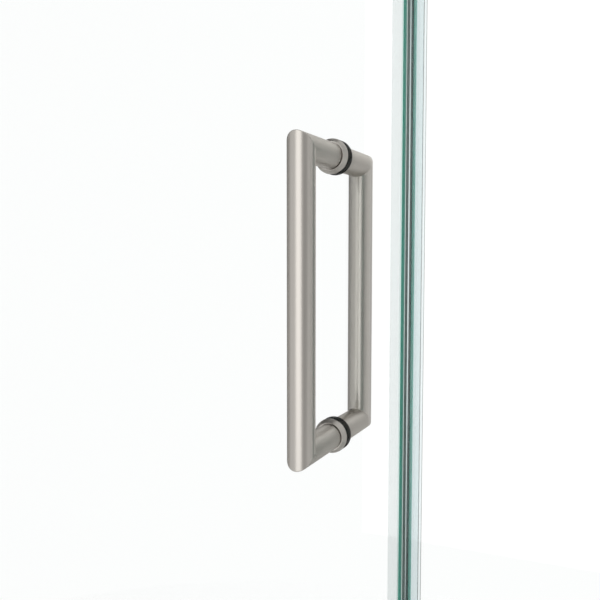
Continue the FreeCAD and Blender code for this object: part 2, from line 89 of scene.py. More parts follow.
# Colours of the seen background, of metal along its rims and of the gloss on vinyl
WHITE = (1.0, 1.0, 1.0)
METAL_RIM = (0.78, 0.76, 0.74)
VINYL_GLOSS = (0.9, 0.9, 0.9)

# Points on the rounded rim of a post and on an eased mitre
RIM_STEPS = 5
MITRE_STEPS = 9

# How far from a rounded corner its flats begin, and the least angle of an edge that stays sharp
FLAT_HOLD = 0.04 * MM
SHARP_ANGLE = math.radians(40)

# Clear faces that a ray may cross, which are many along the seals, and the nearest that the camera sees
CLEAR_CROSSINGS = 32
CAMERA_CLIP = 10 * MM


# Properties that a user may change


def real(title, text, value, **kind):
    return bpy.props.FloatProperty(name=title, description=text, default=value, **kind)


def length(title, text, millimetres):
    return real(title, text, millimetres * MM, unit="LENGTH", precision=5)


def share(title, text, value):
    return real(title, text, value, min=0, max=1, subtype="FACTOR")


def number(title, text, value):
    return real(title, text, value, min=0)


def angle(title, text, degrees):
    return real(title, text, math.radians(degrees), subtype="ANGLE")


def power(title, text, watts):
    return real(title, text, watts, min=0, unit="POWER")


def count(title, text, value):
    return bpy.props.IntProperty(name=title, description=text, default=value, min=3)


def triple(title, text, value, **kind):
    return bpy.props.FloatVectorProperty(name=title, description=text, default=value, size=3, **kind)


def colour(title, text, value):
    return triple(title, text, value, min=0, max=1, subtype="COLOR")


def way(title, text, value):
    return triple(title, text, value, subtype="DIRECTION")


class GlassSettings(bpy.types.PropertyGroup):
    """Looks of the two glass panels."""

    clear: colour("Clear glass", "Colour that the glass gives what lies behind it", (0.985, 0.997, 0.992))
    # The ground edge's green is the glass's own; its lightening from the outside face towards the shower face
    # is painted light
    edge_front: colour("Edge, front", "Colour of the ground edge near the outside face", (0.08, 0.62, 0.45))
    edge_back: colour("Edge, back", "Colour of the ground edge near the shower face", (0.14, 0.66, 0.52))
    # Painted shade: the bevels on the side that isn't frosted get this darker green
    bevel: colour("Bevel", "Colour of the bevels that aren't frosted", (0.05, 0.28, 0.21))
    # Painted light: the edge glow is an emission on the door's ground edge that stands in for light led
    # through the glass
    painted_edge_glow: colour("Edge glow", "Light that the door's glass carries to its edge", (0.010, 0.085, 0.060))
    arris: colour("Arris", "Colour of the narrow frosted bevels", (0.86, 1.0, 0.97))
    arris_roughness: share("Arris roughness", "Roughness of the frosted bevels", 0.5)
    arris_clarity: share("Arris clarity", "How much light goes straight through a frosted bevel", 0.85)
    door_band: length("Door band", "How far the door's frosting reaches in from its outside face", 0.8)
    fixed_band: length("Fixed band", "How far the fixed panel's frosting reaches in from the shower", 0.36)
    refraction: number("Refraction", "Index of refraction of the glass", 1.52)
    edge_roughness: share("Edge roughness", "Roughness of the ground edge", 0.45)
    edge_gloss: share("Edge gloss", "Strength of the ground edge's gloss", 0.12)
    edge_clarity: share("Edge clarity", "How much of the edge's light comes through the glass", 0.3)


class HandleSettings(bpy.types.PropertyGroup):
    """Sizes and looks of the pull handles and their collars."""

    nickel: colour("Brushed nickel", "Colour of the handle tubes", (0.47, 0.446, 0.413))
    roughness: share("Roughness", "Mean roughness of the tubes and the collars", 0.31)
    post_roughness: share("Post roughness", "Added roughness of the posts, brushed by hand", 0.12)
    tube_wall: length("Tube wall", "Thickness of the tube's wall", 1.5)
    mitre_round: length("Mitre rounding", "How far the polished mitre is eased along each run", 0.55)
    rim_round: length("Rim rounding", "Easing of the rim at the end of a post", 0.2)
    collar_thickness: length("Collar flange", "Thickness of a collar's flange", 4.1)
    bevel_width: length("Bevel width", "Width of a collar's bevel, across the post", 2.3)
    bevel_depth: length("Bevel depth", "Depth of a collar's bevel, along the post", 3.1)
    collar_round: length("Collar rounding", "Rounding of a collar's outer rims", 0.3)
    collar_ease: length("Collar easing", "Easing of a collar's other edges", 0.17)
    spigot_radius: length("Collar spigot", "Radius of the spigot inside a post", 6.445)
    screw_hole_radius: length("Screw hole", "Radius of the hole through a collar", 3.2)
    gasket_hole_radius: length("Gasket hole", "Radius of the hole through a gasket", 6.0)
    gasket_round: length("Gasket rounding", "Rounding of a gasket's rims", 0.3)
    thread_play: length("Thread play", "Gap between a grub screw and its hole", 0.05)
    screw_seat_radius: length("Screw seat", "Radius of the seat for a screw's head", 4.9)
    screw_seat_depth: length("Screw seat depth", "Depth of the seat for a screw's head", 4.2)
    steps_around: count("Steps around", "Points around a tube or a collar", 112)


class SealSettings(bpy.types.PropertyGroup):
    """Sizes and looks of the clear vinyl seals."""

    leg_tint: colour("Leg tint", "Colour that each face of the door's seals gives", (0.930, 0.940, 0.939))
    channel_tint: colour("Channel tint", "Colour that each face of the channel gives", (0.90, 0.925, 0.928))
    bulb_tint: colour("Bulb tint", "Colour that each face of the bulb gives", (0.930, 0.961, 0.960))
    shade: colour("Vinyl shade", "Colour of vinyl where it is seen along its surface", (0.035, 0.075, 0.066))
    rim_shade: share("Rim shade", "Share of the shade where vinyl is seen along its surface", 0.9)
    leg_falloff: number("Leg falloff", "How late the hard vinyl of the legs darkens towards its rims", 9.0)
    bulb_falloff: number("Bulb falloff", "How late the soft vinyl of the bulb darkens towards its rims", 1.0)
    bulb_reach: share("Bulb reach", "How far the soft vinyl turns away before it is darkest", 0.45)
    lip_falloff: number("Lip falloff", "How late the edge channel's lips darken towards their rims", 0.22)
    web_falloff: number("Web falloff", "How late the edge channel's web darkens towards its rims", 3.5)
    roughness: share("Roughness", "Roughness of the extruded vinyl", 0.08)
    sheen: share("Sheen", "Share of the gloss where vinyl is seen square on", 0.008)
    rim_sheen: share("Rim sheen", "Share of the gloss that is added along the surface", 0.1)
    sheen_falloff: number("Sheen falloff", "How late the gloss grows towards the rims", 8.0)
    fit: length("Fit", "Gap between a seal and the glass that it is pushed on to", 0.1)
    leg_thickness: length("Leg thickness", "Thickness of a seal's legs", 1.1)
    corner: length("Outer corners", "Rounding of a seal's outer corners", 0.3)
    inner_corner: length("Inner corners", "Rounding inside a seal's channel", 0.15)
    strike_outer_leg: length("Strike outer leg", "Length of the strike seal's outer leg over the glass", 7.2)
    strike_web: length("Strike web", "Thickness of the strike seal behind the glass edge", 1.7)
    bulb_radius: length("Bulb radius", "Outer radius of the hollow bulb", 2.2)
    bulb_wall: length("Bulb wall", "Mean thickness of the bulb's wall", 1.2)
    bore_offset: length("Bore offset", "How far the bulb's bore lies towards its tip", 0.2)
    bulb_root: length("Bulb root", "How far the bulb sinks into the web", 0.2)
    channel_web: length("Edge channel web", "Thickness of the edge channel behind the glass edge", 1.0)
    fin_web: length("Fin seal web", "Thickness of the fin seal behind the glass edge", 1.2)
    fin_thickness: length("Fin thickness", "Thickness of the fin towards the wall", 0.9)
    fin_lean: length("Fin lean", "How far the fin leans into the shower", 2.2)
    sweep_web: length("Sweep web", "Thickness of the sweep under the glass edge", 1.5)
    wiper_spacing: length("Wiper spacing", "Distance between the roots of the two wipers", 6.4)
    wiper_thickness: length("Wiper thickness", "Thickness of a wiper", 0.9)
    wiper_lean: length("Wiper lean", "How far a wiper leans outwards", 1.6)
    lip_thickness: length("Drip lip thickness", "Thickness of the drip lip", 1.2)
    lip_drop: length("Drip lip drop", "How far the drip lip falls towards the shower", 4.5)
    end_gap: length("End gap", "Gap between a length of seal and a hinge plate", 0.5)


class MetalSettings(bpy.types.PropertyGroup):
    """Looks of the hinges, channels, screws and small parts."""

    hinge_nickel: colour("Hinge nickel", "Colour of the hinge plates and brackets", (0.47, 0.446, 0.413))
    channel_nickel: colour("Channel", "Colour of the anodised channels", (0.50, 0.475, 0.43))
    stainless: colour("Stainless steel", "Colour of screws, pins and inserts", (0.52, 0.515, 0.50))
    spring_steel: colour("Spring steel", "Colour of the centring springs", (0.26, 0.25, 0.24))
    nylon: colour("Nylon", "Colour of bushes, washers and sleeves", (0.74, 0.73, 0.68))
    black_rubber: colour("Black rubber", "Colour of the gaskets", (0.012, 0.012, 0.012))
    grey_rubber: colour("Grey rubber", "Colour of the glazing strips and setting blocks", (0.19, 0.195, 0.20))
    nickel_roughness: share("Nickel roughness", "Mean roughness of the hinges and channels", 0.3)
    stainless_roughness: share("Stainless roughness", "Mean roughness of screws, pins and inserts", 0.3)
    spring_roughness: share("Spring roughness", "Mean roughness of the centring springs", 0.35)
    nylon_roughness: share("Nylon roughness", "Mean roughness of bushes, washers and sleeves", 0.45)
    gasket_roughness: share("Gasket roughness", "Mean roughness of the gaskets", 0.55)
    strip_roughness: share("Strip roughness", "Mean roughness of the strips and setting blocks", 0.6)
    channel_wall: length("Channel wall", "Thickness of the channels' walls", 1.6)
    channel_round: length("Channel rounding", "Rounding of the channels' edges", 0.4)
    strip_fit: length("Strip fit", "Play of a glazing strip between glass and channel", 0.05)
    strip_round: length("Strip rounding", "Rounding of a glazing strip's head", 0.35)
    leaf_length: length("Leaf length", "Length of a centring spring's leaf", 10.5)
    leaf_thickness: length("Leaf thickness", "Thickness of a centring spring's leaf", 0.9)
    leaf_gap: length("Leaf gap", "Room that a flattened leaf leaves around the pin", 0.05)


class StudioSettings(bpy.types.PropertyGroup):
    """Floor, light and camera."""

    floor: colour("Floor", "Colour of the floor near the door", (0.86, 0.86, 0.86))
    floor_roughness: share("Floor roughness", "Roughness of the floor", 0.7)
    floor_radius: length("Floor radius", "Radius of the round floor", 1600)
    fade_start: length("Fade start", "Distance from the middle where the floor begins to turn white", 800)
    fade_end: length("Fade end", "Distance from the middle where the floor is white", 1400)
    world_light: number("World light", "Strength of the world on matt surfaces", 0.72)
    mirror_front: number("Mirrored front", "Strength of the world that metal mirrors in front", 0.92)
    mirror_dark: number("Mirrored dark", "How much darker one side in front is", 0.42)
    mirror_side: number("Mirrored side", "How much darker the other side is, behind", 0.50)
    mirror_back: number("Mirrored back", "How much darker one side at the back is", 0.24)
    mirror_up: number("Mirrored ceiling", "How much darker the ceiling is", 0.75)
    mirror_light: number("Mirrored light", "How much brighter the studio is high at the back", 0.5)
    mirror_least: number("Mirrored least", "Strength of the world where it is darkest", 0.10)
    ceiling: way("Ceiling", "Way to the middle of the dark ceiling", (-0.5, 0.25, 0.83))
    back_light: way("Back light", "Way to the middle of the light high at the back", (-0.05, 0.90, 0.43))
    dark_turn: angle("Dark side", "How far round from straight in front the darker side lies", 50)
    side_turn: angle("Other dark side", "How far round from straight in front the other one lies", -118)
    back_turn: angle("Dark back", "How far round from straight in front the dark back lies", 150)
    strip_power: power("Strip light", "Power of the strip light in front", 14.0)
    strip_width: length("Strip width", "Width of the strip light", 1800)
    strip_height: length("Strip height", "Height of the strip light", 2400)
    strip_distance: length("Strip distance", "Distance of the strip light from the glass", 2200)
    strip_side: length("Strip offset", "How far the strip light stands to the side of the handle", 150)
    strip_rise: length("Strip rise", "How far the strip light's middle lies above the handle's", 100)
    top_power: power("Top light", "Power of the large light above", 16.0)
    top_width: length("Top width", "Width of the light above", 2400)
    top_depth: length("Top depth", "Depth of the light above", 1800)
    top_tilt: angle("Top tilt", "How far the light above is tilted towards the door", 20)
    top_place: triple("Top place", "Middle of the light above", (-0.4, -1.1, 3.2), subtype="TRANSLATION")
    lens: real("Lens", "Focal length of the camera", 42.83, min=1, unit="CAMERA")
    camera_turn: angle("Camera turn", "How far the camera stands round to the fixed panel's side", 24.53)
    camera_pitch: angle("Camera pitch", "How far the camera looks down", 3.854)
    camera_distance: length("Camera distance", "Level distance from the camera to the outer bar", 469.25)
    camera_side: length("Camera offset", "How far the camera stands to the side of the bar", -0.82)
    camera_rise: length("Camera rise", "Height of the camera above the middle of the handle", 33.29)


SETTINGS = {
    "door_glass_settings": GlassSettings,
    "door_handle_settings": HandleSettings,
    "door_seal_settings": SealSettings,
    "door_metal_settings": MetalSettings,
    "door_studio_settings": StudioSettings,
}


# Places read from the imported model


class HandlePlaces:
    """Where the handle's axes are, from the boxes of its nodes."""

    def __init__(self):
        low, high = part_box("outer_handle")
        inner_low, inner_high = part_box("inner_handle")
        self.radius = (high.x - low.x) / 2
        self.x = (high.x + low.x) / 2
        self.middle = (high.z + low.z) / 2
        self.half_spacing = (high.z - low.z) / 2 - self.radius
        self.outer_bar = low.y + self.radius
        self.outer_end = high.y
        self.inner_bar = inner_high.y - self.radius
        self.inner_end = inner_low.y
        self.post_heights = (self.middle - self.half_spacing, self.middle + self.half_spacing)


class GlassPlaces:
    """Where the edges of the two panels are, and half of their thickness."""

    def __init__(self):
        self.door_low, self.door_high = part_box("door_glass")
        self.fixed_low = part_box("fixed_glass")[0]
        self.half = (self.door_high.y - self.door_low.y) / 2


# Shader nodes written as expressions


def arithmetic(operation, swapped=False):
    """A method that adds a Math node for a socket and another value, in this order or swapped."""

    def method(self, other):
        first, second = (other, self) if swapped else (self, other)
        return self.shading.math(operation, first, second)

    return method


class Value:
    """A socket that takes part in Python arithmetic: each operator adds one Math node."""

    def __init__(self, shading, socket):
        self.shading = shading
        self.socket = socket

    def __abs__(self):
        return self.shading.math("ABSOLUTE", self, 0.0)

    __add__ = arithmetic("ADD")
    __radd__ = arithmetic("ADD", swapped=True)
    __sub__ = arithmetic("SUBTRACT")
    __rsub__ = arithmetic("SUBTRACT", swapped=True)
    __mul__ = arithmetic("MULTIPLY")
    __rmul__ = arithmetic("MULTIPLY", swapped=True)
    __pow__ = arithmetic("POWER")
    __lt__ = arithmetic("LESS_THAN")
    __gt__ = arithmetic("GREATER_THAN")


class Shading:
    """Adds nodes to the node tree of a material, a world or a light."""

    def __init__(self, owner):
        owner.use_nodes = True
        owner.node_tree.nodes.clear()
        self.owner = owner
        self.tree = owner.node_tree

    def node(self, kind, settings=None, sockets=None, output=0):
        """Adds a node of a type, sets its settings first and then its sockets' values or links."""
        made = self.tree.nodes.new(kind)
        for name, value in (settings or {}).items():
            setattr(made, name, value)
        for key, value in (sockets or {}).items():
            if isinstance(value, Value):
                self.tree.links.new(value.socket, made.inputs[key])
            else:
                made.inputs[key].default_value = value
        return Value(self, made.outputs[output]) if len(made.outputs) else None

    def math(self, operation, first, second):
        return self.node("ShaderNodeMath", {"operation": operation}, {0: first, 1: second})

    def vector_math(self, operation, first, second, output=0):
        return self.node("ShaderNodeVectorMath", {"operation": operation}, {0: first, 1: second}, output)

    def place(self):
        return self.node("ShaderNodeTexCoord", output="Object")

    def parts(self, vector):
        """The three numbers of a vector."""
        x = self.node("ShaderNodeSeparateXYZ", sockets={0: vector})
        return [Value(self, output) for output in x.socket.node.outputs]

    def vector(self, x, y, z):
        return self.node("ShaderNodeCombineXYZ", sockets={0: x, 1: y, 2: z})

    def smooth(self, value, start, end):
        """0 before start, 1 after end and a smooth step between them."""
        settings = {"interpolation_type": "SMOOTHSTEP", "clamp": True}
        return self.node("ShaderNodeMapRange", settings, {"Value": value, "From Min": start, "From Max": end})

    def noise(self, vector, detail, scale=1.0):
        sockets = {"Vector": vector, "Scale": scale, "Detail": detail}
        return self.node("ShaderNodeTexNoise", sockets=sockets)

    def blend(self, factor, first, second):
        """A colour between two colours."""
        settings = {"data_type": "RGBA"}
        return self.node("ShaderNodeMix", settings, {0: factor, 6: first, 7: second}, output=2)

    def shades(self, factor, tint, darkest, lightest):
        """A colour between a darker and a lighter shade of a tint."""
        return self.blend(factor, rgba(tint, darkest), rgba(tint, lightest))

    def bump(self, height, distance):
        return self.node("ShaderNodeBump", sockets={"Height": height, "Distance": distance})

    def ray(self, kind):
        return self.node("ShaderNodeLightPath", output=kind)

    def never(self, kind):
        """1 for rays that haven't yet bounced in this way, where the count of such bounces is 0."""
        return self.ray(f"{kind} Depth") < 0.5

    def surface(self, sockets):
        return self.node("ShaderNodeBsdfPrincipled", sockets=sockets)

    def transparent(self, tint):
        return self.node("ShaderNodeBsdfTransparent", sockets={"Color": rgba(tint)})

    def mix(self, factor, first, second):
        """A shader between two shaders."""
        return self.node("ShaderNodeMixShader", sockets={0: factor, 1: first, 2: second})

    def finish(self, shader, output="Material"):
        """Links the shader to the tree's output and returns what the tree belongs to."""
        self.node(f"ShaderNodeOutput{output}", sockets={"Surface": shader})
        return self.owner


def new_material(name):
    return Shading(bpy.data.materials.new(name))


def seen_through(shading):
    """1 for what the camera sees straight through glass, with nothing mirrored or lit on the way."""
    return shading.ray("Is Transmission Ray") * shading.never("Glossy") * shading.never("Diffuse")


def seen(shading):
    """1 for what the camera sees directly or straight through glass, and 0 for all other rays."""
    return shading.ray("Is Camera Ray") + seen_through(shading)


def rgba(values, strength=1.0):
    return (values[0] * strength, values[1] * strength, values[2] * strength, 1.0)


def around(middle, noise, spread):
    """A number that a noise moves by up to the spread to both sides of its middle."""
    return middle - spread + 2 * spread * noise


# Materials


def on_bar(shading):
    """1 on a handle's bar and 0 on its posts, which meet at the mitres.

    Measured from the corner, a point belongs to the bar where it lies further out from the glass than along
    the bar.
    """
    places = HandlePlaces()
    _, y, z = shading.parts(shading.place())
    out = abs(y) - abs(places.outer_bar)
    up = abs(z - places.middle) - places.half_spacing
    return out > up


def tube_grain(shading, along, across):
    """Coordinates for lines that run along the bar and along the posts, and change over at the mitre."""
    x, y, z = shading.parts(shading.place())
    along_y = shading.vector(x * across, y * along, z * across)
    along_z = shading.vector(x * across, y * across, z * along)
    settings = {"data_type": "VECTOR"}
    return shading.node("ShaderNodeMix", settings, {0: on_bar(shading), 4: along_y, 5: along_z}, output=1)


def turned_grain(shading, along, across):
    """Coordinates for rings about the post axes: the distance from the axis and the place along it."""
    places = HandlePlaces()
    x, y, z = shading.parts(shading.place())
    side = x - places.x
    up = abs(z - places.middle) - places.half_spacing
    radius = (side * side + up * up) ** 0.5
    return shading.vector(radius * across, y * across, up * along)


def upright_grain(shading, along, across):
    """Coordinates for lines that run upright."""
    return shading.vector_math("MULTIPLY", shading.place(), (across, across, along))


def level_grain(shading, along, across):
    """Coordinates for lines that run level, from wall to wall."""
    return shading.vector_math("MULTIPLY", shading.place(), (along, across, across))


def brushed_metal(name, tint, roughness, grain, on_posts=0.0):
    """Satin metal with fine brush lines and broader streaks in its colour, roughness and height.

    A handle's posts may be rougher than its bar.
    """
    shading = new_material(name)
    if on_posts:
        roughness = roughness + on_posts * (1.0 - on_bar(shading))
    fine = shading.noise(grain(shading, *FINE_LINES), detail=3.0)
    broad = shading.noise(grain(shading, *BROAD_STREAKS), detail=2.0)
    mark = FINE_SHARE * fine + (1.0 - FINE_SHARE) * broad
    contrast = shading.smooth(mark, start=0.3, end=0.7)
    metal = {
        "Base Color": shading.shades(contrast, tint, darkest=0.975, lightest=1.025),
        "Metallic": 1.0,
        "Roughness": around(roughness, mark, spread=0.03),
        "Specular Tint": rgba(METAL_RIM),
        "Normal": shading.bump(mark, 2 * MICRON),
    }
    return shading.finish(shading.surface(metal))


def screw_metal(name, tint, roughness):
    """Bright metal of small turned parts, with a faint mottle."""
    shading = new_material(name)
    mottle = shading.noise(shading.place(), detail=4.0, scale=900.0)
    metal = {
        "Base Color": shading.shades(mottle, tint, darkest=0.88, lightest=1.08),
        "Metallic": 1.0,
        "Roughness": around(roughness, mottle, spread=0.05),
        "Normal": shading.bump(mottle, 10 * MICRON),
    }
    return shading.finish(shading.surface(metal))


def moulded(name, tint, roughness, pits, depth):
    """Rubber or nylon: matt, with fine moulding texture and a slow change of colour."""
    shading = new_material(name)
    place = shading.place()
    fine = shading.noise(place, detail=5.0, scale=pits)
    slow = shading.noise(place, detail=2.0, scale=pits / SLOWER)
    matt = {
        "Base Color": shading.shades(0.5 * (fine + slow), tint, darkest=0.8, lightest=1.2),
        "Roughness": around(roughness, fine, spread=0.08),
        "Normal": shading.bump(fine, depth),
    }
    return shading.finish(shading.surface(matt))


def clear_glass(name, glass, frosted_side, band, glow):
    """Clear glass with green ground edges and, on one side of the panel, frosted bevels along them.

    A face belongs to an edge or a bevel where it doesn't face straight across. It is frosted within a band
    beside the frosted side, which is -1 for the outside and 1 for the shower. On the other side a bevel,
    which faces halfway across, is plain and coloured a darker green, which is painted shade. The edge's green
    lightens from the outside face towards the shower face, which is painted light, and the glow is painted
    light too: an emission that stands in for light led through the glass.
    """
    shading = new_material(name)
    half = GlassPlaces().half
    across = abs(shading.parts(shading.node("ShaderNodeTexCoord", output="Normal"))[1])
    place = shading.place()
    y = shading.parts(place)[1]
    edge = across < CLEAR_FACE
    frosted_bevel = y * frosted_side > half - band
    # Painted shade: a bevel on the side that isn't frosted is coloured darker
    painted_shade_bevel = (across > BEVEL_FACE) * (y * frosted_side < 0.0)
    # The edge's green is the glass's own; the blend from front to back paints light across the edge
    depth = shading.smooth(y, -half, half)
    cloud = shading.noise(shading.vector_math("MULTIPLY", place, EDGE_CLOUD), detail=3.0)
    depth = around(depth, cloud, spread=0.03)
    green = shading.blend(depth, rgba(glass.edge_front), rgba(glass.edge_back))
    ground = shading.surface(
        {
            "Base Color": shading.blend(painted_shade_bevel, green, rgba(glass.bevel)),
            "Roughness": around(glass.edge_roughness, cloud, spread=0.05),
            "Specular IOR Level": glass.edge_gloss,
            "IOR": glass.refraction,
            "Transmission Weight": glass.edge_clarity,
            # Painted light: the glow is emitted by the edge, whatever the lamps
            "Emission Color": rgba(glow),
            "Emission Strength": 1.0,
            "Normal": shading.bump(cloud, 20 * MICRON),
        }
    )
    matt = shading.surface({"Base Color": rgba(glass.arris), "Roughness": glass.arris_roughness})
    frosted = shading.mix(glass.arris_clarity, matt, shading.transparent(glass.arris))
    clear = shading.surface(
        {
            "Base Color": rgba(glass.clear),
            "Roughness": 0.0,
            "IOR": glass.refraction,
            "Transmission Weight": 1.0,
        }
    )
    worked = shading.mix(frosted_bevel, ground, frosted)
    return shading.finish(shading.mix(edge, clear, worked))


def clear_vinyl(name, seal, grain, tint, falloff, reach=1.0):
    """Clear extruded vinyl with faint draw lines: see-through, darker along its rims and with a soft gloss.

    With f from 0 square on to 1 along the surface, the share of the shade is the rim shade times (f / reach,
    at most 1) to the power of the falloff. The share of the gloss is the sheen plus the rim sheen times f to
    the power of the sheen's falloff.
    """
    shading = new_material(name)
    lines = shading.noise(grain(shading, *DRAW_LINES), detail=2.0)
    drawn = {
        "Roughness": around(seal.roughness, lines, spread=0.02),
        "Normal": shading.bump(lines, 4 * MICRON),
    }
    shade = shading.surface({"Base Color": rgba(seal.shade), **drawn})
    gloss = shading.surface({"Base Color": rgba(VINYL_GLOSS), "Metallic": 1.0, **drawn})
    facing = shading.node("ShaderNodeLayerWeight", output="Facing")
    turned = shading.math("MINIMUM", facing * (1.0 / reach), 1.0)
    body = shading.mix(seal.rim_shade * turned**falloff, shading.transparent(tint), shade)
    sheen = seal.sheen + seal.rim_sheen * facing**seal.sheen_falloff
    return shading.finish(shading.mix(sheen, body, gloss))


def shared(name, make, *looks, **texture):
    """A material that more than one operator uses, made the first time that it is asked for."""
    return bpy.data.materials.get(name) or make(name, *looks, **texture)


def black_rubber(metal):
    looks = (metal.black_rubber, metal.gasket_roughness)
    return shared("door_black_rubber", moulded, *looks, pits=2600.0, depth=20 * MICRON)


def nylon(metal):
    looks = (metal.nylon, metal.nylon_roughness)
    return shared("door_nylon", moulded, *looks, pits=1800.0, depth=10 * MICRON)


def stainless(metal):
    return shared("door_stainless", screw_metal, metal.stainless, metal.stainless_roughness)


# Surfaces worked out with numpy


def turned_to(outline, sign):
    """The outline, run in the other direction if its area doesn't have this sign."""
    following = np.roll(outline, -1, axis=0)
    area = np.sum(outline[:, 0] * following[:, 1] - outline[:, 1] * following[:, 0])
    return outline if area * sign > 0 else outline[::-1]


def rounded_outline(corners, steps=6):
    """Points of a closed outline whose corners are arcs. A corner is given by its two places and a radius.

    At each corner the arc begins radius * tan(turn / 2) before the corner. Its points are its first point
    turned about a centre that lies one radius inside the turn, at even shares of the turn. One more point
    lies on the straight just before and just after each arc, so that the flats stay flat when shaded.
    """
    corners = np.asarray(corners, float)
    corners, radii = corners[:, :2], corners[:, 2:]
    inward = corners - np.roll(corners, 1, axis=0)
    inward /= np.linalg.norm(inward, axis=1, keepdims=True)
    outward = np.roll(inward, -1, axis=0)
    cross = inward[:, 0] * outward[:, 1] - inward[:, 1] * outward[:, 0]
    turn = np.arctan2(cross, np.sum(inward * outward, axis=1))[:, None]
    trim = radii * np.tan(np.abs(turn) / 2)
    start = corners - trim * inward
    left = np.stack([-inward[:, 1], inward[:, 0]], axis=1)
    centre = start + np.sign(turn) * radii * left
    arm = start - centre
    angles = turn * np.linspace(0, 1, steps)
    cosine, sine = np.cos(angles), np.sin(angles)
    x = centre[:, :1] + cosine * arm[:, :1] - sine * arm[:, 1:]
    y = centre[:, 1:] + sine * arm[:, :1] + cosine * arm[:, 1:]
    arcs = np.stack([x, y], axis=2)
    before = (start - FLAT_HOLD * inward)[:, None]
    after = arcs[:, -1:] + FLAT_HOLD * outward[:, None]
    return np.concatenate([before, arcs, after], axis=1).reshape(-1, 2)


def circle(centre, radius, steps):
    """Points of a circle in a plane."""
    turn = np.linspace(0, 2 * math.pi, steps, endpoint=False)
    return np.asarray(centre) + radius * np.column_stack([np.cos(turn), np.sin(turn)])


def extruded(loops, axis, start, end):
    """A profile carried straight along X, Y or Z from start to end, closed by flat ends.

    The first loop is the outline and the others are holes in it. Their points are pairs of X and Y along Z,
    of Y and Z along X, and of Z and X along Y. A point of the surface is the profile's point at the first
    parameter, moved along the axis by the second. The ends are the profile cut into triangles. Returns
    points, arrays of faces and for each face whether it is shaded smooth.
    """
    loops = [turned_to(loops[0], 1)] + [turned_to(loop, -1) for loop in loops[1:]]
    flat = np.concatenate(loops)
    total = len(flat)
    order = {"Z": (0, 1, 2), "X": (2, 0, 1), "Y": (1, 2, 0)}[axis]
    ends = [np.column_stack([flat, np.full(total, place)])[:, order] for place in (start, end)]
    sides = []
    first = 0
    for loop in loops:
        here = first + np.arange(len(loop))
        following = np.roll(here, -1)
        sides.append(np.column_stack([here, following, following + total, here + total]))
        first += len(loop)
    sides = np.concatenate(sides)
    triangles = np.array(tessellate_polygon([loop.tolist() for loop in loops]))
    a, b, c = flat[triangles.T]
    area = (b[:, 0] - a[:, 0]) * (c[:, 1] - a[:, 1]) - (b[:, 1] - a[:, 1]) * (c[:, 0] - a[:, 0])
    triangles = np.where((area > 0)[:, None], triangles, triangles[:, ::-1])
    smooth = np.arange(len(sides) + 2 * len(triangles)) < len(sides)
    return np.concatenate(ends), [sides, triangles[:, ::-1], triangles + total], smooth


def closed_grid(points):
    """A smooth surface from a grid of points that closes on itself both ways, turned to face outwards."""
    rows, columns = points.shape[:2]
    row, column = np.meshgrid(np.arange(rows), np.arange(columns), indexing="ij")
    next_row = (row + 1) % rows
    next_column = (column + 1) % columns
    corners = [(row, column), (next_row, column), (next_row, next_column), (row, next_column)]
    faces = np.stack([r * columns + c for r, c in corners], axis=2).reshape(-1, 4)
    flat = points.reshape(-1, 3)
    a, b, c, d = flat[faces.T]
    volume = np.sum(np.cross(b - a, d - a) * a) + np.sum(np.cross(c - b, d - b) * b)
    faces = faces if volume > 0 else faces[:, ::-1]
    return flat, [faces], np.ones(len(faces), bool)


def joined(shapes):
    """Several (points, faces, smooth) as one."""
    points, faces, smooth = zip(*shapes)
    starts = np.cumsum([0] + [len(part) for part in points[:-1]])
    faces = [block + start for start, blocks in zip(starts, faces) for block in blocks]
    return np.concatenate(points), faces, np.concatenate(smooth)


def mitred_tube(handle, places, post_end, bar, stops):
    """A hollow tube whose path turns two square corners with mitres.

    Its middle lies in a plane of Y and Z. A point of the surface is base + r * (sin a * spread + cos a * X),
    where a goes around the tube. On a post, spread is straight up. At a corner it is the sum of the ways up
    and out, which shears the circle into the mitre's ellipse, and base follows a small quadratic curve from
    the post to the bar, so that the mitre is slightly eased. The rows run along the outside of the upper
    half, along its mirror image, the lower half, and back along the bore. The post ends have rounded rims.
    """
    radius = places.radius
    bore = radius - handle.tube_wall
    out = math.copysign(1.0, bar - post_end)
    up = places.half_spacing
    rim = handle.rim_round
    turn = np.linspace(0, math.pi / 2, RIM_STEPS)
    post_in = np.concatenate([rim * (1 - np.cos(turn)), [4 * rim], stops])
    post_radius = np.full(len(post_in), radius)
    post_radius[:RIM_STEPS] -= rim * (1 - np.sin(turn))
    ease = handle.mitre_round
    hold = 2 * ease
    eased = np.linspace(0, 1, MITRE_STEPS)
    corner_in = np.concatenate([[-hold], -ease * (1 - eased) ** 2, [0]])
    corner_out = np.concatenate([[0], ease * eased**2, [hold]])
    bore_in = np.array([hold, 0])
    blocks = [
        (post_end + out * post_in, up, 0.0, post_radius),
        (bar + out * corner_in, up - corner_out, out, radius),
        ([bar], up, out, bore),
        (post_end + out * bore_in, up, 0.0, bore),
    ]
    # The columns are the place along Y, the height above the middle, the spread along Y, r and the spread up
    rows = [np.stack(np.broadcast_arrays(*block, 1.0), axis=1) for block in blocks]
    outside, inside = np.concatenate(rows[:2]), np.concatenate(rows[2:])
    mirror = (1, -1, 1, 1, -1)
    rows = np.concatenate([outside, mirror * outside[::-1], mirror * inside[::-1], inside])
    y, height, spread_y, size, spread_z = rows.T[:, :, None]
    round_turn = np.linspace(0, 2 * math.pi, handle.steps_around, endpoint=False)
    reach = size * np.sin(round_turn)
    across = places.x + size * np.cos(round_turn)
    surface = [across, y + reach * spread_y, places.middle + height + reach * spread_z]
    return closed_grid(np.stack(surface, axis=2))


